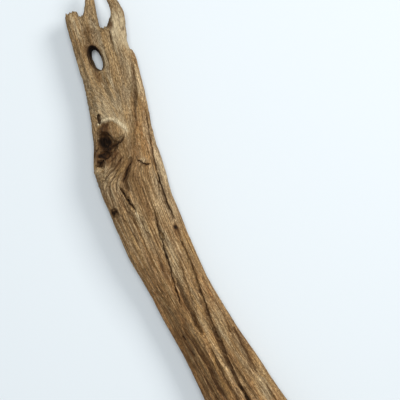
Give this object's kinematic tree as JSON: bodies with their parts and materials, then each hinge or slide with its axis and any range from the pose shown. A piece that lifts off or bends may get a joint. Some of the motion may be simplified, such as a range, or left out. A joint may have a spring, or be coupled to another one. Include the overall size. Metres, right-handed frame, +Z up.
{
  "type": "piece of driftwood",
  "caption": "Bent length of weathered driftwood, blunt at the butt and split into a jagged fork, with a knot, a worn through-hole and long open cracks. It lies flat as a natural ornament.",
  "frame": {"origin": "centre of the bounding box's base, on the surface that the wood rests on", "axes": "+X along the grain from the butt to the fork, +Y across the wood towards the knot's side, +Z up, out of the carved face"},
  "size_m": [0.3844, 0.0752, 0.0343],
  "materials": {
    "weathered_wood": "bare, weathered and matt"
  },
  "bodies": {
    "root": {"driftwood": "weathered_wood"}
  },
  "joints": []
}
